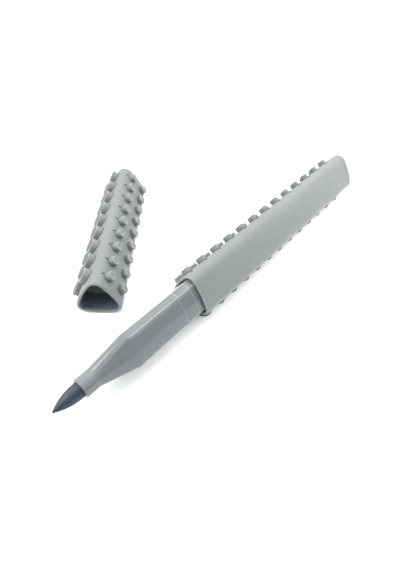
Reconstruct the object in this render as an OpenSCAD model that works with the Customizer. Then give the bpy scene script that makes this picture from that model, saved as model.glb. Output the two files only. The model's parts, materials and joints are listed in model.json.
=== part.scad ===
// Three-sided marker with studs on one face, dished discs on the next, a brush nib and a pull-off cap.
// The pen lies along X on its discs, nib towards -X. The cap lies beside it on its smooth face.
// The origin is the middle of the lower disc pattern, on the plane of the disc tops.

/* [Section] */
// Distance from the axis to the middle of a face
face_d = 5.5; // [5.2:0.1:6]
// Radius of the slight outward bulge of each face
face_r = 23.5; // [20:0.5:30]
// Radius of the three long edges
edge_r = 2.95; // [2.6:0.05:3.2]
// Thickness of the outer walls of body and cap
wall = 0.9; // [0.8:0.05:0.95]

/* [Studs and discs] */
// Distance from stud to stud, or disc to disc, along a row
stud_pitch = 6.4; // [6:0.1:6.6]
// Distance between the two rows of a face
stud_row = 5.9; // [5.8:0.1:6]
// Diameter of a stud
stud_d = 3; // [2.6:0.1:3.2]
// Height of the tops of studs and discs over the middle of the face
stud_h = 1.4; // [1:0.1:1.8]
// Bevel round the top of a stud
stud_bevel = 0.25; // [0.1:0.05:0.4]
// How far the foot of a stud flares out
stud_flare = 0.12; // [0:0.02:0.14]
// Diameter of the small pip beside each stud of one row
pip_d = 0.7; // [0.5:0.1:0.7]
// Distance of the pips from the middle of the face
pip_t = 5; // [4.9:0.1:5.2]
// How far a pip sits past its stud, away from the open end
pip_shift = 0.3; // [0:0.1:0.6]
// Diameter of a disc
disc_d = 4.5; // [4.2:0.1:4.6]
// Bevel round the top of a disc
disc_bevel = 0.15; // [0.1:0.05:0.2]
// Diameter of the round dish in a disc, wide enough for the top of a stud
dish_d = 3.3; // [3:0.1:3.5]
// Depth of the dish
dish_t = 0.3; // [0.1:0.05:0.6]

/* [Body] */
// Length of the body from its lip to its flat rear end
body_l = 86.8; // [85:0.2:92]
// Studs or discs in each row of the body
body_studs = 13; // [5:2:13]
// Distance from the lip to the first stud and disc
body_lead = 2.7; // [2.5:0.1:4]
// Visible thickness of the tail plug
tail_t = 1.7; // [1.4:0.1:2.5]
// How far the tail plug reaches into the body
tail_plug_l = 8; // [7:0.5:12]

/* [Grip and nib] */
// How far the faces of the grip lie inside those of the body
grip_inset = 1.3; // [1.3:0.02:1.5]
// Half of the slight turn across each bevelled long edge of the grip
grip_bevel = 13; // [6:1:30]
// Length of the three-sided grip in front of the lip
grip_l = 24.7; // [22:0.1:26]
// Length over which the grip changes from three-sided to round
shoulder_l = 11; // [9:0.1:12]
// Length of the round nose
nose_l = 4.3; // [3:0.1:6]
// Diameter of the round nose
nose_d = 5.6; // [5.2:0.1:5.8]
// Diameter of the nib where it leaves the nose
nib_d = 4.3; // [3.8:0.1:4.4]
// Length of nib that shows
nib_l = 8.3; // [6:0.1:9]
// Diameter of the ink reservoir over its film
reservoir_d = 7; // [6:0.1:7]

/* [Cap] */
// Length of the cap
cap_l = 61.2; // [60:0.2:64]
// Studs or discs in each row of the cap
cap_studs = 9; // [3:2:9]
// Distance from the mouth to the first stud and disc
cap_lead = 4.6; // [4:0.1:5]
// Rounding of the closed end
cap_end_r = 2.4; // [1.5:0.1:2.6]
// Thickness of the dark liner inside the cap
liner_t = 0.15; // [0.1:0.01:0.16]
// Place of the middle of the mouth along the pen
cap_x = -59.2; // [-70:0.1:-50]
// Place of the middle of the mouth across from the pen
cap_y = 19.8; // [18:0.1:40]
// Direction in which the cap lies, from mouth to closed end
cap_yaw = 39.3; // [20:0.1:60]

/* [Hidden] */
$fn = 48;
// Play of a pressed fit and of a slip fit
fit_gap = 0.03;
slip_gap = 0.1;
// Thickness of the thin slices that a blend is stretched between
slice = 0.02;
// Turn from the middle of a face to the next long edge
edge_turn = 60;
// Straight pieces in the arc of a face, in the arc of an edge and in a bevel
face_steps = 8;
edge_steps = 8;
bevel_steps = 4;
// Centres of the arcs of a face and of an edge from the axis, and half of the angle that a face spans
face_c = face_r - face_d;
edge_span = face_r - edge_r;
edge_c = (sqrt(4 * edge_span * edge_span - 3 * face_c * face_c) - face_c) / 2;
face_half = atan2(edge_c * sin(edge_turn), face_c + edge_c * cos(edge_turn));

// Height of the axis of the pen, and its stations along X
axis_z = face_d + stud_h;
lip_x = -body_lead - stud_pitch * (body_studs - 1) / 2;
rear_x = lip_x + body_l;
nose_x = lip_x - grip_l - shoulder_l - nose_l;

// Directions of the faces with studs and with discs round the axis, measured from +Y towards +Z
body_stud_turn = 30;
body_disc_turn = -90;
cap_stud_turn = 150;
cap_disc_turn = 30;

// Heights over the axis: buried roots of studs and discs, end of their flare, then root and top of a pip
stud_root = face_d - 0.7;
disc_root = face_d - 0.83;
stud_foot = face_d - 0.05;
pip_root = face_d - 1.2;
pip_top = face_d - 0.2;
// How far the foot of a disc flares out
disc_flare = 0.06;

// Rounding of the rear end and depth of the seat for the reservoir in the tail plug
tail_r = 0.5;
tail_seat_l = tail_plug_l - 2;

// Root of the grip section inside the body: where it becomes a pressed fit and where it ends
grip_root_lead = 2.5;
grip_root_l = 14;
// Two small steps widen the grip towards the lip, at these distances in front of it
step_places = [6.5, 2];
step_h = 0.05;

// Nib behind the nose: thick shank, thin stem, and the power that shapes the leaf in front
nib_shank_l = 11;
nib_stem_d = 2.4;
nib_stem_l = 14.6;
nib_power = 2.4;
nib_steps = 24;

// Ends of the ink reservoir, its film, and the hole that takes the stem of the nib
reservoir_front = lip_x - grip_l + 2.1;
reservoir_rear = rear_x - tail_t - 2.2;
film_t = 0.14;
stem_socket_l = 9;

// Bush that holds the stem, with its air channels
holder_d = 5.2;
holder_l = 6;
holder_x = reservoir_front - slip_gap - holder_l;
holder_vents = 3;
holder_vent_d = 0.9;

// Inside of the cap: set-back of the liner, end walls, and the ring that seals on the nose
liner_lead = 0.6;
liner_end_t = 1;
cap_end_t = 2.2;
seal_place = 36.4;
seal_l = 2;

// Arc of a face and arc of the long edge that follows it, drawn in by an inset
function face_arc(turn, inset) =
    [for (i = [0 : face_steps])
        let (a = turn - face_half + 2 * face_half * i / face_steps)
        (face_r - inset) * [cos(a), sin(a)] - face_c * [cos(turn), sin(turn)]];

function edge_arc(turn, inset) =
    [for (i = [1 : edge_steps - 1])
        let (a = turn + face_half + 2 * (edge_turn - face_half) * i / edge_steps)
        (edge_r - inset) * [cos(a), sin(a)] + edge_c * [cos(turn + edge_turn), sin(turn + edge_turn)]];

// Nearly flat bevel between the same two ends as the arc of the edge
function edge_bevel(turn, inset) =
    let (r = edge_r - inset,
         bevel_r = r * sin(edge_turn - face_half) / sin(grip_bevel),
         bevel_c = edge_c + r * cos(edge_turn - face_half) - bevel_r * cos(grip_bevel))
    [for (i = [1 : bevel_steps - 1])
        let (a = turn + edge_turn - grip_bevel + 2 * grip_bevel * i / bevel_steps)
        bevel_r * [cos(a), sin(a)] + bevel_c * [cos(turn + edge_turn), sin(turn + edge_turn)]];

// Three-sided outlines, with round long edges and with bevelled ones
function outline(inset = 0) =
    [for (turn = [30, 150, 270]) each concat(face_arc(turn, inset), edge_arc(turn, inset))];

function grip_outline(inset) =
    [for (turn = [30, 150, 270]) each concat(face_arc(turn, inset), edge_bevel(turn, inset))];

// Leaf-shaped half profile of the nib, with its shank and stem behind it
function nib_profile() = concat(
    [[0, -nib_shank_l - nib_stem_l], [nib_stem_d / 2, -nib_shank_l - nib_stem_l],
     [nib_stem_d / 2, -nib_shank_l], [nib_d / 2, -nib_shank_l]],
    [for (i = [0 : nib_steps])
        let (s = i / nib_steps)
        [nib_d / 2 * (1 - pow(s, nib_power)), nib_l * s]]);

// Turns a shape drawn along +Z so that it runs along +X, with its flat plane on Y and Z
module along_x(x) {
    translate([x, 0, 0])
        rotate([90, 0, 90])
            children();
}

module prism(x, l, inset = 0) {
    along_x(x)
        linear_extrude(l)
            polygon(outline(inset));
}

module grip_prism(x, l, inset) {
    along_x(x)
        linear_extrude(l)
            polygon(grip_outline(inset));
}

module rod(x, l, d) {
    along_x(x)
        cylinder(h = l, d = d);
}

// Rounded closing of the section: steps that follow a quarter circle of radius r
module round_end(x, r, steps = 4) {
    for (i = [0 : steps - 1])
        hull()
            for (a = [90 * i / steps, 90 * (i + 1) / steps])
                prism(x + r * sin(a) - slice, slice, r * (1 - cos(a)));
}

module stud() {
    translate([0, 0, stud_root])
        cylinder(h = stud_foot - stud_root, d1 = stud_d + 2 * stud_flare, d2 = stud_d);
    translate([0, 0, stud_foot])
        cylinder(h = axis_z - stud_bevel - stud_foot, d = stud_d);
    translate([0, 0, axis_z - stud_bevel])
        cylinder(h = stud_bevel, d1 = stud_d, d2 = stud_d - 2 * stud_bevel);
}

module pip() {
    translate([0, 0, pip_root])
        cylinder(h = pip_top - pip_root, d = pip_d);
}

module disc() {
    difference() {
        union() {
            translate([0, 0, disc_root])
                cylinder(h = stud_foot - disc_root, d1 = disc_d + 2 * disc_flare, d2 = disc_d);
            translate([0, 0, stud_foot])
                cylinder(h = axis_z - disc_bevel - stud_foot, d = disc_d);
            translate([0, 0, axis_z - disc_bevel])
                cylinder(h = disc_bevel, d1 = disc_d, d2 = disc_d - 2 * disc_bevel);
        }
        translate([0, 0, axis_z - dish_t])
            cylinder(h = dish_t + 1, d = dish_d);
    }
}

// Two rows of whatever is passed in, on the face that looks in the direction of the turn
module rows(first, count, turn) {
    for (i = [0 : count - 1], side = [-1, 1])
        rotate([turn - 90, 0, 0])
            translate([first + i * stud_pitch, side * stud_row / 2, 0])
                children();
}

// One pip beside each stud, outside the row on one side
module pips(first, count, turn, pip_side) {
    for (i = [0 : count - 1])
        rotate([turn - 90, 0, 0])
            translate([first + pip_shift + i * stud_pitch, pip_side * pip_t, 0])
                pip();
}

module at_pen() {
    translate([0, 0, axis_z])
        children();
}

module at_cap() {
    translate([cap_x, cap_y, face_d])
        rotate([0, 0, cap_yaw])
            children();
}

module body_sleeve() {
    color("#9aa3a4")
        at_pen() {
            difference() {
                prism(lip_x, body_l - tail_t);
                prism(lip_x - 1, body_l + 2, wall);
            }
            rows(lip_x + body_lead, body_studs, body_stud_turn)
                stud();
            pips(lip_x + body_lead, body_studs, body_stud_turn, -1);
            rows(lip_x + body_lead, body_studs, body_disc_turn)
                disc();
        }
}

module tail_plug() {
    color("#959fa0")
        at_pen()
            difference() {
                union() {
                    prism(rear_x - tail_t, tail_t - tail_r);
                    round_end(rear_x - tail_r, tail_r, 3);
                    prism(rear_x - tail_t - tail_plug_l, tail_plug_l, wall + fit_gap);
                }
                rod(rear_x - tail_t - tail_plug_l - 1, tail_seat_l + 1, reservoir_d + slip_gap);
            }
}

module grip_section() {
    color("#878f91")
        at_pen()
            difference() {
                union() {
                    prism(lip_x + grip_root_lead, grip_root_l - grip_root_lead, wall + fit_gap);
                    grip_prism(lip_x - grip_l, grip_l + grip_root_lead, grip_inset);
                    for (i = [0 : len(step_places) - 1])
                        grip_prism(lip_x - step_places[i], step_places[i] + grip_root_lead,
                                   grip_inset - step_h * (i + 1));
                    hull() {
                        grip_prism(lip_x - grip_l, slice, grip_inset);
                        rod(nose_x + nose_l, slice, nose_d);
                    }
                    rod(nose_x, nose_l + slice, nose_d);
                }
                rod(reservoir_front - slip_gap, grip_root_l + grip_l, reservoir_d + slip_gap);
                rod(holder_x, holder_l + 1, holder_d);
                rod(nose_x - 1, holder_x - nose_x + 2, nib_d + slip_gap);
            }
}

module nib_holder() {
    color("#d8dadb")
        at_pen()
            difference() {
                rod(holder_x + fit_gap, holder_l - 2 * fit_gap, holder_d - 2 * fit_gap);
                rod(holder_x - 1, holder_l + 2, nib_stem_d + 2 * fit_gap);
                for (i = [0 : holder_vents - 1])
                    rotate([i * 360 / holder_vents, 0, 0])
                        translate([0, 0, holder_d / 2])
                            rod(holder_x - 1, holder_l + 2, holder_vent_d);
            }
}

module brush_nib() {
    color("#4b5569")
        at_pen()
            translate([nose_x, 0, 0])
                rotate([0, -90, 0])
                    rotate_extrude()
                        polygon(nib_profile());
}

module reservoir_core() {
    color("#2f3a55")
        at_pen()
            difference() {
                rod(reservoir_front, reservoir_rear - reservoir_front, reservoir_d - 2 * film_t - fit_gap);
                rod(reservoir_front - 1, stem_socket_l + 1, nib_stem_d + fit_gap);
            }
}

module reservoir_film() {
    film_l = reservoir_rear - reservoir_front;
    color("#e8eaec")
        at_pen()
            difference() {
                rod(reservoir_front, film_l, reservoir_d);
                rod(reservoir_front - 1, film_l + 2, reservoir_d - 2 * film_t);
            }
}

module cap_shell() {
    color("#9aa3a4")
        at_cap() {
            difference() {
                union() {
                    prism(0, cap_l - cap_end_r);
                    round_end(cap_l - cap_end_r, cap_end_r);
                }
                prism(-1, cap_l - cap_end_t + 1, wall);
            }
            rows(cap_lead, cap_studs, cap_stud_turn)
                stud();
            pips(cap_lead, cap_studs, cap_stud_turn, 1);
            rows(cap_lead, cap_studs, cap_disc_turn)
                disc();
        }
}

module cap_liner() {
    liner_l = cap_l - cap_end_t - liner_lead - slip_gap;
    liner_inset = wall + fit_gap;
    color("#2c3340")
        at_cap() {
            difference() {
                prism(liner_lead, liner_l, liner_inset);
                prism(liner_lead - 1, liner_l - liner_end_t + 1, liner_inset + liner_t);
            }
            difference() {
                prism(seal_place, seal_l, liner_inset + liner_t / 2);
                rod(seal_place - 1, seal_l + 2, nose_d + slip_gap);
            }
        }
}

body_sleeve();
tail_plug();
grip_section();
nib_holder();
brush_nib();
reservoir_core();
reservoir_film();
cap_shell();
cap_liner();
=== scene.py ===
import json
import math

import bpy
import numpy as np
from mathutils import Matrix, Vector


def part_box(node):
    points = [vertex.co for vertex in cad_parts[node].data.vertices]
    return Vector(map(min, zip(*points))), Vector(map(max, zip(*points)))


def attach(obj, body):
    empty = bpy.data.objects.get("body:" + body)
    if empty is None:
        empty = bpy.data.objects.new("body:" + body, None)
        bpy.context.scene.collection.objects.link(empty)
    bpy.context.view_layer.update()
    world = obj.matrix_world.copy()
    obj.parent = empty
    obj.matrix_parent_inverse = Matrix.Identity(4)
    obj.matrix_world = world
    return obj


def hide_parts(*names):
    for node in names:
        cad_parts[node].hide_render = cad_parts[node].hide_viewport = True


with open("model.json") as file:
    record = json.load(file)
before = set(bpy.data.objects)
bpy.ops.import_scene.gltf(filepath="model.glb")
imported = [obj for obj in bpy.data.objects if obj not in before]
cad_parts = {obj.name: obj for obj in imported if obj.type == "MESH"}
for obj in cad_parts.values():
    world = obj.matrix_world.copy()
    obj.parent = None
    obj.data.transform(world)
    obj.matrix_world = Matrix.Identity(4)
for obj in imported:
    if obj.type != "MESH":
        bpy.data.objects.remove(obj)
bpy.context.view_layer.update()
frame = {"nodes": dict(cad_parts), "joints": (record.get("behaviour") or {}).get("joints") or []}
scene = bpy.context.scene
mm = 0.001  # the shapes below are in millimetres, the meshes in metres
print("frame loaded:", ", ".join(sorted(frame["nodes"])))


def boxMm(node):
    low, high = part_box(node)
    return np.array(low) / mm, np.array(high) / mm


# stations along the pen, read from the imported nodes
sleeveLow, sleeveHigh = boxMm("body_sleeve")
tailLow, tailHigh = boxMm("tail_plug")
gripLow, gripHigh = boxMm("grip_section")
nibLow, nibHigh = boxMm("brush_nib")
lipX = sleeveLow[0]
seamX = sleeveHigh[0]
rearX = tailHigh[0]
noseX = gripLow[0]
tipX = nibLow[0]
axisZ = (nibLow[2] + nibHigh[2]) / 2

# rounded three-sided section: three faces that bulge a little and three round edges
section = {
    "faceD": 5.5,  # from the axis to the middle of a face
    "faceR": 23.5,
    "edgeR": 2.95,
    "wall": 0.9,
    "faceSteps": 14,
    "edgeSteps": 18,
}
third = math.radians(120)  # the section repeats after a third of a turn
slack = 1e-9  # for angles that fall on the end of an arc
faceBulge = section["faceR"] - section["faceD"]
edgeSpan = section["faceR"] - section["edgeR"]
edgeC = (math.sqrt(4 * edgeSpan**2 - 3 * faceBulge**2) - faceBulge) / 2
edgeCn, edgeCt = edgeC * math.cos(third / 2), edgeC * math.sin(third / 2)
faceHalf = math.atan2(edgeCt, faceBulge + edgeCn)
faceTurns = np.radians([30, 150, 270])


def nearestFace(angle):
    # the middle of the face that an angle belongs to, and how far it is turned from there
    face = faceTurns[0] + third * np.round((angle - faceTurns[0]) / third)
    return face, angle - face


def sectionAngles():
    # normal angles round the section, evenly spaced within each face arc and each edge arc
    parts = []
    for turn in faceTurns:
        faceEnd, nextFace = turn + faceHalf, turn + third - faceHalf
        parts.append(np.linspace(turn - faceHalf, faceEnd, section["faceSteps"], endpoint=False))
        parts.append(np.linspace(faceEnd, nextFace, section["edgeSteps"], endpoint=False))
    return np.concatenate(parts)


def outlineAt(angle, inset):
    # the point whose outward normal has this angle, on an arc round the centre of a face or of an edge
    face, off = nearestFace(angle)
    onFace = np.abs(off) <= faceHalf + slack
    turn = np.where(onFace, face, face + np.sign(off) * third / 2)
    centre = np.where(onFace, -faceBulge, edgeC)
    radius = np.where(onFace, section["faceR"], section["edgeR"]) - inset[:, None]
    y = radius * np.cos(angle) + centre * np.cos(turn)
    z = radius * np.sin(angle) + centre * np.sin(turn)
    return y, z


def faceHeight(t):
    # height of the outline over the axis at distance t from the middle of a face
    t = np.abs(t)
    flat = np.sqrt(np.maximum(section["faceR"] ** 2 - t**2, 0)) - faceBulge
    edge = edgeCn + np.sqrt(np.maximum(section["edgeR"] ** 2 - (t - edgeCt) ** 2, 0))
    return np.where(t <= section["faceR"] * math.sin(faceHalf), flat, edge)


triAngles = sectionAngles()


def sweep(rows, angles, outline=outlineAt, landing=None):
    # one ring per row (x, inset, share, radius): the outline drawn in by inset, mixed by share with a circle,
    # whose points lie at the same angles or at those of landing
    x, inset, share, radius = np.array(rows, float).T
    y, z = outline(angles, inset)
    share = share[:, None]
    landing = angles if landing is None else landing
    y = (1 - share) * y + share * radius[:, None] * np.cos(landing)
    z = (1 - share) * z + share * radius[:, None] * np.sin(landing)
    return np.stack([np.broadcast_to(x[:, None], y.shape), y, z], -1)


def gridQuads(rows, cols, closeRows=False):
    # quads of a grid that always closes across its columns, and across its rows where asked
    i = np.arange(rows if closeRows else rows - 1)[:, None]
    j = np.arange(cols)[None, :]
    i2, j2 = (i + 1) % rows, (j + 1) % cols
    corners = [i * cols + j, i * cols + j2, i2 * cols + j2, i2 * cols + j]
    return np.stack([np.broadcast_to(c, (len(i), cols)) for c in corners], -1).reshape(-1, 4)


def copiedQuads(rows, cols, count):
    # the quads of one such grid for several copies, one after another
    quads = gridQuads(rows, cols)
    return (quads[None] + rows * cols * np.arange(count)[:, None, None]).reshape(-1, 4)


def arcRows(x, inset, size, start, stop, steps=6):
    # rows of a rounded rim: an arc of this size round (x, inset), its angle measured from +x towards the axis
    a = np.radians(np.linspace(start, stop, steps))
    return [(x + size * math.cos(q), inset + size * math.sin(q), 0, 0) for q in a]


def rimHighlight(rows, start, stop):
    # painted highlight of each row: none, apart from the rows of one rounded rim, where it rises to 1 and falls
    # again
    wear = np.zeros(len(rows))
    wear[start:stop] = np.sin(np.linspace(0, np.pi, stop - start))
    return wear


sharpAngle = math.radians(42)  # edges that turn by more than this stay sharp


class Patchwork:
    # gathers grids into one mesh, with a painted-light value (highlights on edges) and a painted-shade value
    # (feet) at each point

    def __init__(self):
        self.points, self.quads, self.wear, self.grime, self.count = [], [], [], [], 0

    def add(self, points, quads, wear=0.0, grime=0.0):
        flat = points.reshape(-1, 3)
        self.points.append(flat)
        self.quads.append(quads + self.count)
        self.wear.append(np.broadcast_to(wear, len(flat)))
        self.grime.append(np.broadcast_to(grime, len(flat)))
        self.count += len(flat)

    def addRings(self, points, wear=0.0, closeRows=False):
        # one grid of rings, with one painted-light value, one for each ring or one for each point
        wear = wear[:, None] if np.ndim(wear) == 1 else wear
        quads = gridQuads(*points.shape[:2], closeRows)
        self.add(points, quads, np.broadcast_to(wear, points.shape[:2]).ravel())

    def build(self, name, material, body, nodes):
        points = np.concatenate(self.points) * mm
        mesh = bpy.data.meshes.new(name)
        mesh.from_pydata(points.tolist(), [], np.concatenate(self.quads).tolist())
        for label, values in (("wear", self.wear), ("grime", self.grime)):
            layer = mesh.attributes.new(label, "FLOAT", "POINT")
            layer.data.foreach_set("value", np.concatenate(values).astype(np.float32))
        mesh.validate(clean_customdata=False)
        mesh.shade_smooth()
        mesh.set_sharp_from_angle(angle=sharpAngle)
        mesh.materials.append(material)
        piece = bpy.data.objects.new(name, mesh)
        scene.collection.objects.link(piece)
        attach(piece, body)
        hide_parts(*nodes)


# camera: the photograph's viewing direction and focal length for a 400 by 570 frame
cameraView = {
    "azimuth": 49.35,
    "elevation": 46.52,
    "target": (-31.02, 4.88, 0.0),
    "distance": 137.1,
    "focalPixels": 430.9,
    "framePixels": 570,
    "sensor": 36.0,
    "clip": (0.005, 20),  # metres
}


def makeCamera(view):
    a, e = math.radians(view["azimuth"]), math.radians(view["elevation"])
    forward = Vector((math.sin(a) * math.cos(e), math.cos(a) * math.cos(e), -math.sin(e)))
    data = bpy.data.cameras.new("photoCamera")
    data.sensor_width = view["sensor"]
    data.lens = view["focalPixels"] * view["sensor"] / view["framePixels"]
    data.clip_start, data.clip_end = view["clip"]
    camera = bpy.data.objects.new("photoCamera", data)
    camera.location = (Vector(view["target"]) - forward * view["distance"]) * mm
    camera.rotation_euler = forward.to_track_quat("-Z", "Y").to_euler()
    scene.collection.objects.link(camera)
    scene.camera = camera


makeCamera(cameraView)
print("camera set")

# materials: small helpers, then a dictionary and a function for each finish
noiseRange = (0.3, 0.7)  # most values of a noise texture lie between these
wholeRange = (0, 1)


def newMaterial(name):
    material = bpy.data.materials.new(name)
    material.use_nodes = True
    return material, material.node_tree, material.node_tree.nodes["Principled BSDF"]


def noise(tree, scale, detail, stretch=(1, 1, 1)):
    coords = tree.nodes.new("ShaderNodeTexCoord")
    mapping = tree.nodes.new("ShaderNodeMapping")
    mapping.inputs["Scale"].default_value = stretch
    texture = tree.nodes.new("ShaderNodeTexNoise")
    texture.inputs["Scale"].default_value = scale
    texture.inputs["Detail"].default_value = detail
    tree.links.new(coords.outputs["Object"], mapping.inputs["Vector"])
    tree.links.new(mapping.outputs["Vector"], texture.inputs["Vector"])
    return texture.outputs["Fac"]


def spread(tree, source, low, high, between=noiseRange):
    node = tree.nodes.new("ShaderNodeMapRange")
    node.inputs["From Min"].default_value, node.inputs["From Max"].default_value = between
    node.inputs["To Min"].default_value, node.inputs["To Max"].default_value = low, high
    tree.links.new(source, node.inputs["Value"])
    return node.outputs["Result"]


def twoTone(tree, pattern, look):
    # the two tones of a finish, mixed by a noise pattern
    node = tree.nodes.new("ShaderNodeMix")
    node.data_type = "RGBA"
    node.inputs["A"].default_value = (*look["first"], 1)
    node.inputs["B"].default_value = (*look["second"], 1)
    tree.links.new(spread(tree, pattern, 0, 1), node.inputs["Factor"])
    return node.outputs["Result"]


def painted(tree, base, name, share, colour):
    # turns the base colour towards another one, up to this share, where the mesh carries painted light or
    # painted shade
    carried = tree.nodes.new("ShaderNodeAttribute")
    carried.attribute_name = name
    node = tree.nodes.new("ShaderNodeMix")
    node.data_type = "RGBA"
    node.inputs["B"].default_value = (*colour, 1)
    tree.links.new(base, node.inputs["A"])
    tree.links.new(spread(tree, carried.outputs["Fac"], 0, share, wholeRange), node.inputs["Factor"])
    return node.outputs["Result"]


def bumps(tree, shader, source, strength, depthMm):
    node = tree.nodes.new("ShaderNodeBump")
    node.inputs["Strength"].default_value = strength
    node.inputs["Distance"].default_value = depthMm * mm
    tree.links.new(source, node.inputs["Height"])
    tree.links.new(node.outputs["Normal"], shader.inputs["Normal"])


softTouch = {
    "first": (0.188, 0.204, 0.204),
    "second": (0.204, 0.219, 0.217),
    # tones of the painted highlight on edges and rims and of the painted shade at feet and walls
    "highlightTone": (0.31, 0.323, 0.319),
    "highlightShare": 0.7,
    "shadeTone": (0.05, 0.055, 0.056),
    "shadeShare": 0.7,
    "roughness": (0.5, 0.62),
    "cloud": {"scale": 180, "detail": 4},
    "gloss": {"scale": 900, "detail": 3},
    "grain": {"scale": 7000, "detail": 2},
    "bump": {"strength": 0.25, "depthMm": 0.02},
}


def softTouchMaterial(name, look):
    # fine satin grain, faint cloudy tone, painted highlight along edges and rims and painted shade at the feet
    # and walls of studs, discs and pips
    material, tree, shader = newMaterial(name)
    colour = twoTone(tree, noise(tree, **look["cloud"]), look)
    colour = painted(tree, colour, "wear", look["highlightShare"], look["highlightTone"])
    colour = painted(tree, colour, "grime", look["shadeShare"], look["shadeTone"])
    gloss = spread(tree, noise(tree, **look["gloss"]), *look["roughness"])
    tree.links.new(colour, shader.inputs["Base Color"])
    tree.links.new(gloss, shader.inputs["Roughness"])
    bumps(tree, shader, noise(tree, **look["grain"]), **look["bump"])
    return material


gripGloss = {
    "first": (0.144, 0.16, 0.165),
    "second": (0.16, 0.177, 0.179),
    # tone of the painted highlight lines
    "highlightTone": (0.5, 0.52, 0.52),
    "highlightShare": 0.6,
    "roughness": (0.09, 0.16),
    "shine": 0.45,
    "flow": {"scale": 260, "detail": 3, "stretch": (0.12, 1, 1)},
    "gloss": {"scale": 420, "detail": 3},
    "ripple": {"scale": 320, "detail": 2, "stretch": (0.2, 1, 1)},
    "bump": {"strength": 0.06, "depthMm": 0.03},
}


def gripMaterial(look):
    # polished moulding: faint flow lines along the pen, slightly uneven gloss, pale lines of painted highlight
    # at the steps and bevel edges, and a paler nose
    material, tree, shader = newMaterial("gripGlossGrey")
    colour = twoTone(tree, noise(tree, **look["flow"]), look)
    colour = painted(tree, colour, "wear", look["highlightShare"], look["highlightTone"])
    gloss = spread(tree, noise(tree, **look["gloss"]), *look["roughness"])
    tree.links.new(colour, shader.inputs["Base Color"])
    tree.links.new(gloss, shader.inputs["Roughness"])
    shader.inputs["Specular IOR Level"].default_value = look["shine"]
    bumps(tree, shader, noise(tree, **look["ripple"]), **look["bump"])
    return material


nibFibre = {
    "first": (0.016, 0.027, 0.046),
    "second": (0.023, 0.036, 0.058),
    "roughness": (0.42, 0.62),
    "strands": {"scale": 2600, "detail": 4, "stretch": (0.06, 1, 1)},
    "gloss": {"scale": 700, "detail": 3},
    "bump": {"strength": 0.25, "depthMm": 0.03},
}


def nibMaterial(look):
    # damp fibres that run along the nib
    material, tree, shader = newMaterial("nibFibre")
    strands = noise(tree, **look["strands"])
    gloss = spread(tree, noise(tree, **look["gloss"]), *look["roughness"])
    tree.links.new(twoTone(tree, strands, look), shader.inputs["Base Color"])
    tree.links.new(gloss, shader.inputs["Roughness"])
    bumps(tree, shader, strands, **look["bump"])
    return material


# inner mouldings: what they share, then each one's tones, roughness and grain
moulding = {
    "cloud": {"scale": 240, "detail": 4},
    "grainDetail": 2,
    "bumpsPerGrain": 4,
    "bump": {"strength": 0.15, "depthMm": 0.02},
}
linerMoulding = {
    "first": (0.112, 0.132, 0.164),
    "second": (0.1288, 0.1518, 0.1886),
    # tone of the painted light deeper inside the cap
    "inside": (0.5, 0.475, 0.465),
    "roughness": (0.3, 0.42),
    "grain": 1500,
}
holderMoulding = {
    "first": (0.62, 0.63, 0.64),
    "second": (0.72, 0.73, 0.73),
    "roughness": (0.4, 0.52),
    "grain": 1500,
}
filmSheet = {
    "first": (0.72, 0.74, 0.76),
    "second": (0.8, 0.82, 0.84),
    "roughness": (0.15, 0.27),
    "grain": 1500,
}
coreFibre = {
    "first": (0.02, 0.028, 0.06),
    "second": (0.045, 0.055, 0.1),
    "roughness": (0.7, 0.82),
    "grain": 2600,
}


def mouldedMaterial(name, look):
    # faint cloud of two tones and a fine grain; the liner is dark at the mouth and further in turns to a paler
    # brown-grey of painted light
    material, tree, shader = newMaterial(name)
    colour = twoTone(tree, noise(tree, **moulding["cloud"]), look)
    if "inside" in look:
        colour = painted(tree, colour, "wear", 1, look["inside"])
    grain = noise(tree, look["grain"], moulding["grainDetail"])
    fine = noise(tree, look["grain"] * moulding["bumpsPerGrain"], moulding["grainDetail"])
    tree.links.new(colour, shader.inputs["Base Color"])
    tree.links.new(spread(tree, grain, *look["roughness"]), shader.inputs["Roughness"])
    bumps(tree, shader, fine, **moulding["bump"])
    return material


greyShell = softTouchMaterial("softTouchGrey", softTouch)
greyTail = softTouchMaterial("tailGrey", softTouch)
greyGrip = gripMaterial(gripGloss)
darkNib = nibMaterial(nibFibre)
darkLiner = mouldedMaterial("linerDark", linerMoulding)
whiteHolder = mouldedMaterial("holderWhite", holderMoulding)
clearFilm = mouldedMaterial("filmClear", filmSheet)
inkFibre = mouldedMaterial("reservoirFibre", coreFibre)
print("materials made")

# rows on the faces: small studs with a pip beside them, and wider discs with a round dish
faceRows = {"pitch": 6.4, "row": 5.9, "height": 1.4}
# feet of studs and discs; their painted shade rises from the first to the second value up the foot fillet
footShape = {"rings": 6, "sink": 0.02, "fadedBy": 0.15, "grime": (0.55, 1.0), "rimRings": 7}
studShape = {
    "radius": 1.5,
    "edge": 0.34,
    "foot": 0.3,
    "rimWidth": 0.2,
    "rimHighlight": 0.8,
    "wallShade": 0.1,
    "dish": 0.14,
    "dishRings": 6,
    "dishSlope": 0.45,  # the share of the top over which it slopes down
    "dishHighlight": 0.5,
    "floorRing": 0.25,
    "sides": 36,
}
discShape = {
    "radius": 2.35,
    "edge": 0.2,
    "foot": 0.24,
    "dishRadius": 1.65,
    "dish": 0.3,
    "dishShade": 0.7,
    "soft": 0.1,
    "softRings": 5,
    "rimHighlight": 0.7,
    "floorRing": 0.6,
    "dishFloorShade": 0.2,
    "sides": 48,
}
pipShape = {
    "radius": 0.33,
    "offset": 5.1,
    "shift": 0.1,
    "rise": 0.46,
    "sunk": -25,  # degrees under the equator of the dome
    "rings": 8,
    "litTop": 0.6,
    "sides": 16,
}


def ringTable(radius, rise=0.0, drop=0.0, top=1.0, wear=0.0, grime=0.0):
    # one row per ring: radius, height over the face, depth under the top plane, 1 for a ring that is measured
    # from that plane, painted highlight and painted shade
    columns = np.atleast_1d(radius, rise, drop, top, wear, grime)
    return np.stack(np.broadcast_arrays(*columns), -1)


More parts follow.
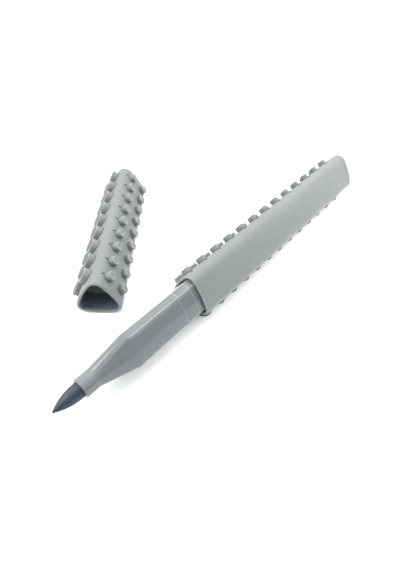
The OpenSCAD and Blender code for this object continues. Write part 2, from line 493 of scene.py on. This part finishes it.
def footAndRim(s, wallShade):
    # a hollow fillet that lies against the face, darkest with painted shade, a wall above it with painted shade
    # of its own, and a quarter-round rim where the painted shade gives way to painted highlight
    r, e, foot = s["radius"], s["edge"], s["foot"]
    low, high = footShape["grime"]
    q = np.radians(np.linspace(0, 90, footShape["rings"]))
    rise, grime = foot * (1 - np.cos(q)) - footShape["sink"], low + (high - low) * np.sin(q)
    fillet = ringTable(r + foot * (1 - np.sin(q)), rise, top=0, grime=grime)
    wall = ringTable(r, foot + footShape["fadedBy"], top=0, grime=wallShade)
    q = np.radians(np.linspace(0, 90, footShape["rimRings"]))
    drop, grime = e * (1 - np.sin(q)), wallShade * np.cos(q)
    rim = ringTable(r - e + e * np.cos(q), drop=drop, wear=np.sin(q), grime=grime)
    return np.concatenate([fillet, wall, rim])


def studProfile(s):
    # flat rim, then a shallow hollow: a smooth step down to a flat floor
    flat = s["radius"] - s["edge"] - s["rimWidth"]
    # painted highlight on the flat rim, fading down into the hollow
    rim = ringTable(flat + 0.5 * s["rimWidth"], wear=s["rimHighlight"])
    q = np.linspace(0, 1, s["dishRings"])
    drop, wear = s["dish"] * (3 * q**2 - 2 * q**3), s["dishHighlight"] * (1 - q)
    hollow = ringTable(flat * (1 - s["dishSlope"] * q), drop=drop, wear=wear)
    floor = ringTable(flat * np.array([s["floorRing"], 0]), drop=s["dish"])
    return np.concatenate([footAndRim(s, s["wallShade"]), rim, hollow, floor])


def discProfile(s, wallShade):
    # the inner edge of the rim rolls over into the dish, which meets its flat floor in a small fillet
    soft, wallR, depth = s["soft"], s["dishRadius"], s["dish"]
    q = np.radians(np.linspace(0, 90, s["softRings"]))
    over, under = soft * (1 - np.cos(q)), soft * (1 - np.sin(q))
    # painted highlight on the rolled rim, painted shade in the dish's fillet and on its floor
    roll = ringTable(wallR + under, drop=over, wear=s["rimHighlight"] * np.cos(q))
    fillet = ringTable(wallR - over, drop=depth - under, grime=s["dishShade"])
    floor = ringTable(wallR * np.array([s["floorRing"], 0]), drop=depth, grime=(s["dishFloorShade"], 0))
    return np.concatenate([footAndRim(s, wallShade), roll, fillet, floor])


def onFaces(x, t, n, turn):
    # from position along the pen, across the face and out of it to the pen's own axes
    return np.stack([x, n * np.cos(turn) - t * np.sin(turn), n * np.sin(turn) + t * np.cos(turn)], -1)


def addRows(patch, shape, profile, first, count, turn, place):
    # two rows at once: rings by sides for each stud or disc, repeated along x and on both sides of the middle
    along = first + faceRows["pitch"] * np.arange(count)
    side, x0 = [g.ravel() for g in np.meshgrid((-0.5, 0.5), along, indexing="ij")]
    a = np.linspace(0, 2 * np.pi, shape["sides"], endpoint=False)
    r, rise, drop, top = [c[None, :, None] for c in profile[:, :4].T]
    x = x0[:, None, None] + r * np.sin(a)
    t = side[:, None, None] * faceRows["row"] + r * np.cos(a)
    n = np.where(top > 0, section["faceD"] + faceRows["height"] - drop, faceHeight(t) + rise)
    wear, grime = [np.tile(np.repeat(c, shape["sides"]), len(x0)) for c in profile[:, 4:].T]
    quads = copiedQuads(len(profile), shape["sides"], len(x0))
    patch.add(place(onFaces(x, t, n, turn)), quads, wear, grime)


def addPips(patch, p, first, count, turn, side, place):
    # small domes beside the studs, radius and rise along a quarter circle
    x0 = first + p["shift"] + faceRows["pitch"] * np.arange(count)[:, None, None]
    a = np.linspace(0, 2 * np.pi, p["sides"], endpoint=False)
    q = np.radians(np.linspace(p["sunk"], 90, p["rings"]))[None, :, None]
    x = x0 + p["radius"] * np.cos(q) * np.sin(a)
    t = np.broadcast_to(side * p["offset"] + p["radius"] * np.cos(q) * np.cos(a), x.shape)
    n = np.broadcast_to(faceHeight(side * p["offset"]) + p["rise"] * np.sin(q), x.shape)
    # painted shade on the pip, lightest at its top
    grime = 1 - p["litTop"] * np.clip(np.sin(q.ravel()), 0, 1)
    quads = copiedQuads(p["rings"], p["sides"], count)
    patch.add(place(onFaces(x, t, n, turn)), quads, grime=np.tile(np.repeat(grime, p["sides"]), count))


def addFaces(patch, piece, first, place):
    # studs and pips on one face of the piece, discs on another
    count, studTurn, discTurn = piece["studs"], math.radians(piece["studTurn"]), math.radians(piece["discTurn"])
    addRows(patch, studShape, studProfile(studShape), first, count, studTurn, place)
    addPips(patch, pipShape, first, count, studTurn, piece["pipSide"], place)
    addRows(patch, discShape, discProfile(discShape, piece["discWallShade"]), first, count, discTurn, place)


def onPen(points):
    return points + np.array([0, 0, axisZ])


# cap pose: middle of the mouth on the floor plan, and the way it points, taken from its slide joint
capPose = {"mouth": (-59.2, 19.8), "axis": np.array(frame["joints"][0]["axis"], float)}


def onCap(points):
    u = capPose["axis"]
    v = np.array([-u[1], u[0], 0])
    origin = np.array([*capPose["mouth"], section["faceD"]])
    x, y, z = points[..., 0:1], points[..., 1:2], points[..., 2:3]
    return origin + x * u + y * v + z * np.array([0, 0, 1.0])


# outer barrel: hollow, with a soft lip and a fine groove at the tail seam
bodySleeve = {
    "studs": 13,
    "firstStud": 2.7,
    "studTurn": 30,  # degrees round the axis, as for the discs and the edges with painted highlight
    "discTurn": -90,
    "pipSide": 1,
    # walls of the discs that carry the pen are fully darkened with painted shade
    "discWallShade": 1.0,
    "lipOuter": 0.42,
    "lipInner": 0.2,
    "bands": (1.5, 12.0),  # rings behind the lip
    "tailBand": 3.0,
    "seam": 0.12,
    "highlitEdges": (210.0, 330.0),
    "highlightBand": (30, 40),  # painted highlight up to the first of these angles from an edge, none from the second
    "edgeHighlight": 1.0,
}


def edgeHighlight(b, rowHighlight, angles):
    # painted highlight at each point of the barrel: that of its row, or that of the two lower long edges if it
    # is more
    off = np.degrees(np.mod(angles, 2 * np.pi))[:, None] - np.array(b["highlitEdges"])
    pale, fadedBy = b["highlightBand"]
    edge = np.clip((fadedBy - np.abs(off).min(axis=1)) / (fadedBy - pale), 0, 1)
    return np.maximum(rowHighlight[:, None], b["edgeHighlight"] * edge)


def makeBodySleeve(b):
    wall, outer, inner = section["wall"], b["lipOuter"], b["lipInner"]
    nearX, farX = lipX + b["bands"][0], lipX + b["bands"][1]
    rows = [(seamX, wall, 0, 0), (farX, wall, 0, 0), (nearX, wall, 0, 0)]
    rows += arcRows(lipX + inner, wall - inner, inner, 90, 180)
    lipStart = len(rows)
    rows += arcRows(lipX + outer, outer, outer, 180, 270)
    lipEnd = len(rows)
    rows += [(nearX, 0, 0, 0), (farX, 0, 0, 0), (seamX - b["tailBand"], 0, 0, 0)]
    rows += [(seamX - b["seam"], 0, 0, 0), (seamX, b["seam"], 0, 0)]
    # painted highlight on the lip rim and along the two lower long edges
    wear = edgeHighlight(b, rimHighlight(rows, lipStart, lipEnd), triAngles)
    patch = Patchwork()
    patch.addRings(onPen(sweep(rows, triAngles)), wear, closeRows=True)
    addFaces(patch, b, lipX + b["firstStud"], onPen)
    patch.build("bodySleeve", greyShell, "pen", ["body_sleeve"])


# tail plug: a disc of the same section with a rounded edge, and the hollow spigot that holds it in the barrel
tailPlug = {
    "edge": 0.5,
    "edgeRings": 9,
    "spigotInset": 0.93,
    "chamfer": 0.15,
    "seatRadius": 3.55,
    "seatDepth": 6.0,
    "seam": 0.12,
    "faceInset": 1.3,
    "faceRadius": 2.0,
}


def makeTailPlug(p):
    spigot, chamfer, edge, seam = p["spigotInset"], p["chamfer"], p["edge"], p["seam"]
    frontX = tailLow[0]
    seatX = frontX + p["seatDepth"]
    rows = [(seatX, 0, 1, 0), (seatX, 0, 1, p["seatRadius"]), (frontX, 0, 1, p["seatRadius"])]
    rows += [(frontX, spigot + chamfer, 0, 0), (frontX + chamfer, spigot, 0, 0)]
    rows += [(seamX, spigot, 0, 0), (seamX, seam, 0, 0), (seamX + seam, 0, 0, 0)]
    edgeStart = len(rows)
    rows += arcRows(rearX - edge, edge, edge, -90, 0, p["edgeRings"])
    edgeEnd = len(rows)
    rows += [(rearX, p["faceInset"], 0, 0), (rearX, 0, 1, p["faceRadius"]), (rearX, 0, 1, 0)]
    patch = Patchwork()
    # painted highlight along the rounded edge of the tail
    patch.addRings(onPen(sweep(rows, triAngles)), rimHighlight(rows, edgeStart, edgeEnd))
    patch.build("tailPlug", greyTail, "pen", ["tail_plug"])


# grip: three-sided with bevelled long edges and two small steps, a shoulder that runs into the round nose,
# and the bores for nib, holder and reservoir
gripSection = {
    "inset": 1.3,
    "bevel": math.radians(13),  # half the angle that a bevel turns through
    "bevelSteps": 6,
    "fillet": 0.45,
    "filletSteps": 6,
    "stepPlaces": (6.5, 2.0),  # before the lip
    "stepHeight": 0.05,
    "stepRings": ((-0.4, 0), (-0.12, 0), (0, 0), (0.1, 0.8), (0.2, 1), (0.5, 1)),  # place, share of the height
    "stepMiddle": 0.05,
    "stepReach": 0.1,
    "stepHighlight": 0.55,
    "rootInset": 0.93,
    "rootLead": 2.5,
    "rootChamfer": 0.2,
    "length": 24.7,
    "shoulder": 11.0,
    "shoulderShares": (1, 0.98, 0.75, 0.5, 0.25, 0.02),
    "shoulderBand": 1.0,
    "crease": 0.06,
    "landing": (0.5, 0.62),  # where the two ends of a fillet meet the nose, in radians from a face
    "noseRadius": 2.8,
    "noseRim": 0.14,
    "noseRings": 5,
    "nibBore": 2.2,
    "nibLead": 1.0,
    "holderBore": 2.6,
    "holderX": (-28.7, -22.7),  # from the lip
    "reservoirBore": 3.55,
    "paleNose": 0.08,
    "paleFrom": 1.5,  # behind the neck
    "paleOver": 2.0,
    "paleEdge": 1.0,
    "lineRamp": 0.1,  # radians, as for the soft side
    "lineSoft": 0.05,
    "lineFade": 1.0,  # behind the shoulder
}


def bevelAngles(g):
    # normal angles round the grip: along each face, round a fillet, across the bevel and round the next fillet
    parts, bevel = [], g["bevel"]
    counts = (section["faceSteps"], g["filletSteps"], g["bevelSteps"], g["filletSteps"])
    for turn in faceTurns:
        edge, nextFace = turn + third / 2, turn + third - faceHalf
        stops = [turn - faceHalf, turn + faceHalf, edge - bevel, edge + bevel, nextFace]
        for start, stop, steps in zip(stops[:-1], stops[1:], counts):
            parts.append(np.linspace(start, stop, steps, endpoint=False))
    return np.concatenate(parts)


def bevelledAt(angle, inset):
    # a smaller outline of face arcs and flat bevel arcs, pushed out again along the normal by the fillet
    fillet, bevel, corner = gripSection["fillet"], gripSection["bevel"], third / 2 - faceHalf
    face, off = nearestFace(angle)
    onFace, onBevel = np.abs(off) <= faceHalf + slack, np.abs(off) >= third / 2 - bevel - slack
    turn = np.where(onBevel, face + np.sign(off) * third / 2, face)
    held = np.where(onFace | onBevel, angle, face + np.sign(off) * faceHalf)  # a fillet turns round one corner
    edgeR = section["edgeR"] - inset[:, None] - fillet
    bevelR = edgeR * math.sin(corner) / math.sin(bevel)
    bevelC = edgeC + edgeR * math.cos(corner) - bevelR * math.cos(bevel)
    radius = np.where(onBevel, bevelR, section["faceR"] - inset[:, None] - fillet)
    centre = np.where(onBevel, bevelC, -faceBulge)
    y = radius * np.cos(held) + centre * np.cos(turn) + fillet * np.cos(angle)
    z = radius * np.sin(held) + centre * np.sin(turn) + fillet * np.sin(angle)
    return y, z


def noseAngles(g, angles):
    # where the columns land on the round nose: the fillets stay narrow, so the edges of the bevels run on
    face, off = nearestFace(angles)
    stops = (0, faceHalf, third / 2 - g["bevel"], third / 2)
    lands = (0, *g["landing"], third / 2)
    return face + np.sign(off) * np.interp(np.abs(off), stops, lands)


def bevelLine(g, angles):
    # painted highlight line along each edge of a bevel; between the middles of the two upper faces it fades
    # into the face
    off = np.abs(nearestFace(angles)[1])
    soft = np.where(np.sin(angles) > math.sin(faceTurns[0]), g["lineSoft"], 0)
    onFillet = off < third / 2 - g["bevel"] - g["lineRamp"]
    return g["paleEdge"] * onFillet * np.clip((off - faceHalf + soft) / g["lineRamp"], 0, 1)


def makeGripSection(g):
    inset, step, tight, noseR = g["inset"], g["stepHeight"], g["crease"], g["noseRadius"]
    rearEnd, steps = gripHigh[0], lipX - np.array(g["stepPlaces"])
    shoulderX = lipX - g["length"]
    neckX = shoulderX - g["shoulder"]
    rootX, chamfer = lipX + g["rootLead"], g["rootChamfer"]
    holderFront, holderRear = lipX + g["holderX"][0], lipX + g["holderX"][1]
    bore = [(rearEnd, 0, 1, g["reservoirBore"]), (holderRear, 0, 1, g["reservoirBore"])]
    bore += [(holderRear, 0, 1, g["holderBore"]), (holderFront, 0, 1, g["holderBore"])]
    bore += [(x, 0, 1, g["nibBore"]) for x in (holderFront, noseX + g["nibLead"], noseX)]
    rows = []
    for q in np.radians(np.linspace(0, 90, g["noseRings"])):  # rounded rim of the nose
        ringX = noseX + g["noseRim"] * (1 - math.cos(q))
        rows.append((ringX, 0, 1, noseR - g["noseRim"] * (1 - math.sin(q))))
    rows += [(neckX - tight, 0, 1, noseR)]
    for share in g["shoulderShares"]:  # straight lines from the nose to the bevelled outline
        rows.append((shoulderX + (neckX - shoulderX) * share, inset, share, noseR))
    rows += [(shoulderX + tight, inset, 0, 0), (shoulderX + g["shoulderBand"], inset, 0, 0)]
    for i, place in enumerate(steps):
        rows += [(place + along, inset - step * (i + up), 0, 0) for along, up in g["stepRings"]]
    rows += [(rootX, inset - len(steps) * step, 0, 0)]
    root = [(rootX, g["rootInset"], 0, 0), (rearEnd - chamfer, g["rootInset"], 0, 0)]
    root += [(rearEnd, g["rootInset"] + chamfer, 0, 0)]
    angles = bevelAngles(g)
    outside = sweep(rows, angles, bevelledAt, noseAngles(g, angles))
    points = np.concatenate([sweep(bore, angles), outside, sweep(root, angles)])
    x = points[:, 0, 0]
    # painted highlight lines at the two steps and along the bevel edges, and a paler nose of painted light
    fromStep = np.abs(x[:, None] - steps - g["stepMiddle"]).min(axis=1)
    wear = np.where(fromStep < g["stepReach"], g["stepHighlight"], 0)
    wear = np.maximum(wear, g["paleNose"] * np.clip((neckX + g["paleFrom"] - x) / g["paleOver"], 0, 1))
    fade = np.clip((x - shoulderX) / g["lineFade"], 0, 1)
    wear = np.maximum(wear[:, None], bevelLine(g, angles) * fade[:, None])
    patch = Patchwork()
    patch.addRings(onPen(points), wear, closeRows=True)
    patch.build("gripSection", greyGrip, "pen", ["grip_section"])


# nib: a leaf of revolution, its radius falling with a power of the distance from the nose
brushNib = {"radius": 2.15, "power": 2.4, "stemRadius": 1.2, "shank": 11.0, "rings": 40, "sides": 64}


def makeBrushNib(n):
    stemX, shankX = nibHigh[0], noseX + n["shank"]
    share = np.sin(np.linspace(0, np.pi / 2, n["rings"]))[::-1]
    leaf = zip(tipX + (noseX - tipX) * (1 - share), n["radius"] * (1 - share ** n["power"]))
    rows = [(x, 0, 1, radius) for x, radius in leaf]
    rows += [(shankX, 0, 1, n["radius"]), (shankX, 0, 1, n["stemRadius"])]
    rows += [(stemX, 0, 1, n["stemRadius"]), (stemX, 0, 1, 0)]
    angles = np.linspace(0, 2 * np.pi, n["sides"], endpoint=False)
    patch = Patchwork()
    patch.addRings(onPen(sweep(rows, angles)))
    patch.build("brushNib", darkNib, "pen", ["brush_nib"])


# cap: the same section with a rounded mouth rim and a rounded closed end
capShell = {
    "length": 61.2,
    "studs": 9,
    "firstStud": 4.6,
    "studTurn": 150,  # degrees round the axis, as for the discs
    "discTurn": 30,
    "pipSide": -1,
    "discWallShade": 0.1,
    "mouthOuter": 0.4,
    "mouthInner": 0.25,
    "bands": (1.5, 12.0),  # rings behind the mouth
    "endBand": 3.0,
    "endRound": 2.4,
    "endArc": (-90, -6),
    "endArcRings": 12,
    "endRings": ((0.01, 2.6), (0, 1.2), (0, 0)),  # distance before the end, radius
    "endWall": 2.2,
    "endChamfer": 0.4,
}


def makeCapShell(c):
    wall, length, end, chamfer = section["wall"], c["length"], c["endRound"], c["endChamfer"]
    outer, inner, insideX = c["mouthOuter"], c["mouthInner"], length - c["endWall"]
    nearX, farX = c["bands"]
    rows = [(insideX, 0, 1, 0), (insideX, wall + chamfer, 0, 0), (insideX - chamfer, wall, 0, 0)]
    rows += [(farX, wall, 0, 0), (nearX, wall, 0, 0)]
    rows += arcRows(inner, wall - inner, inner, 90, 180)
    rimStart = len(rows)
    rows += arcRows(outer, outer, outer, 180, 270)
    rimEnd = len(rows)
    rows += [(nearX, 0, 0, 0), (farX, 0, 0, 0), (length - end - c["endBand"], 0, 0, 0)]
    rows += arcRows(length - end, end, end, *c["endArc"], c["endArcRings"])
    rows += [(length - before, 0, 1, radius) for before, radius in c["endRings"]]
    patch = Patchwork()
    # painted highlight round the mouth rim
    patch.addRings(onCap(sweep(rows, triAngles)), rimHighlight(rows, rimStart, rimEnd))
    addFaces(patch, c, c["firstStud"], onCap)
    patch.build("capShell", greyShell, "cap", ["cap_shell"])


# liner: thin dark skin inside the cap, with the ring that seals on the nose and a closed end
capLiner = {
    "lead": 0.6,
    "leadChamfer": 0.1,
    "outer": 0.93,
    "inner": 1.08,
    "litZone": (6.8, 7.8),  # it turns to a paler brown-grey of painted light between these distances from the mouth
    "end": 58.9,
    "endWall": 1.0,
    "endChamfer": 0.3,
    "seal": (36.4, 38.4),
    "sealRadius": 2.85,
}


def makeCapLiner(c):
    inner, outer, lead, end = c["inner"], c["outer"], c["lead"], c["end"]
    leadChamfer, endChamfer, insideX = c["leadChamfer"], c["endChamfer"], end - c["endWall"]
    sealFront, sealRear = c["seal"]
    rows = [(insideX, 0, 1, 0), (insideX, inner + endChamfer, 0, 0), (insideX - endChamfer, inner, 0, 0)]
    rows += [(sealRear, inner, 0, 0), (sealRear, 0, 1, c["sealRadius"])]
    rows += [(sealFront, 0, 1, c["sealRadius"]), (sealFront, inner, 0, 0)]
    rows += [(c["litZone"][1], inner, 0, 0), (c["litZone"][0], inner, 0, 0)]
    rows += [(lead + leadChamfer, inner, 0, 0), (lead, inner - leadChamfer, 0, 0)]
    rows += [(lead, outer, 0, 0), (end, outer, 0, 0), (end, 0, 1, 0)]
    # rows deeper in carry painted light
    litZone = np.array([row[0] > np.mean(c["litZone"]) for row in rows], float)
    patch = Patchwork()
    patch.addRings(onCap(sweep(rows, triAngles)), litZone)
    patch.build("capLiner", darkLiner, "cap", ["cap_liner"])


makeBodySleeve(bodySleeve)
makeTailPlug(tailPlug)
makeGripSection(gripSection)
makeBrushNib(brushNib)
print("pen made")
makeCapShell(capShell)
makeCapLiner(capLiner)
print("cap made")

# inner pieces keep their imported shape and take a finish
innerFinish = {"nib_holder": whiteHolder, "reservoir_core": inkFibre, "reservoir_film": clearFilm}
for node, material in innerFinish.items():
    frame["nodes"][node].data.materials.clear()
    frame["nodes"][node].data.materials.append(material)

# stage: pale floor that glows faintly, a cool sky that is brightest above and behind the pen, four soft lamps
floorLook = {"size": 3.0, "colour": (0.93, 0.93, 0.93), "roughness": 0.9, "shine": 0.1, "glow": 0.2}
skyLook = {"colour": (0.95, 1.0, 1.0), "low": 0.4, "high": 1.95, "axis": (0.256, 0.498, 0.829)}
lamps = {
    "overhead": {"at": (70, 80, 300), "aim": (0, 0, 0), "size": 260, "watts": 0.3, "tint": (0.96, 1, 1)},
    "rearClose": {"at": (95, -82, 80), "aim": (35, 0, 6), "size": 60, "watts": 0.118, "tint": (1, 0.92, 0.91)},
    "rearTop": {"at": (110, 20, 110), "aim": (40, 0, 6), "size": 80, "watts": 0.06, "tint": (0.98, 1, 1)},
    "left": {"at": (-160, 110, 170), "aim": (-20, 10, 0), "size": 120, "watts": 0.4, "tint": (1, 0.93, 0.9)},
}


def makeFloor(look):
    half = look["size"] / 2
    corners = [(-half, -half, 0), (half, -half, 0), (half, half, 0), (-half, half, 0)]
    mesh = bpy.data.meshes.new("floor")
    mesh.from_pydata(corners, [], [(0, 1, 2, 3)])
    floor = bpy.data.objects.new("floor", mesh)
    scene.collection.objects.link(floor)
    material, _, shader = newMaterial("paleFloor")
    shader.inputs["Base Color"].default_value = (*look["colour"], 1)
    shader.inputs["Roughness"].default_value = look["roughness"]
    shader.inputs["Specular IOR Level"].default_value = look["shine"]
    shader.inputs["Emission Color"].default_value = (1, 1, 1, 1)
    shader.inputs["Emission Strength"].default_value = look["glow"]
    mesh.materials.append(material)


def makeSky(look):
    world = bpy.data.worlds.new("studio")
    world.use_nodes = True
    tree = world.node_tree
    sky = tree.nodes["Background"]
    sky.inputs["Color"].default_value = (*look["colour"], 1)
    coords = tree.nodes.new("ShaderNodeTexCoord")
    facing = tree.nodes.new("ShaderNodeVectorMath")  # 1 along the axis, where the sky is brightest
    facing.operation = "DOT_PRODUCT"
    facing.inputs[1].default_value = look["axis"]
    tree.links.new(coords.outputs["Generated"], facing.inputs[0])
    strength = spread(tree, facing.outputs["Value"], look["low"], look["high"], wholeRange)
    tree.links.new(strength, sky.inputs["Strength"])
    scene.world = world


def makeLamp(name, look):
    data = bpy.data.lights.new(name, "AREA")
    data.shape = "SQUARE"
    data.size = look["size"] * mm
    data.energy = look["watts"]
    data.color = look["tint"]
    lamp = bpy.data.objects.new(name, data)
    lamp.location = Vector(look["at"]) * mm
    lamp.rotation_euler = (Vector(look["aim"]) - Vector(look["at"])).to_track_quat("-Z", "Y").to_euler()
    scene.collection.objects.link(lamp)


makeFloor(floorLook)
makeSky(skyLook)
for name, look in lamps.items():
    makeLamp(name, look)
scene.view_settings.view_transform = "Standard"
print("stage set")
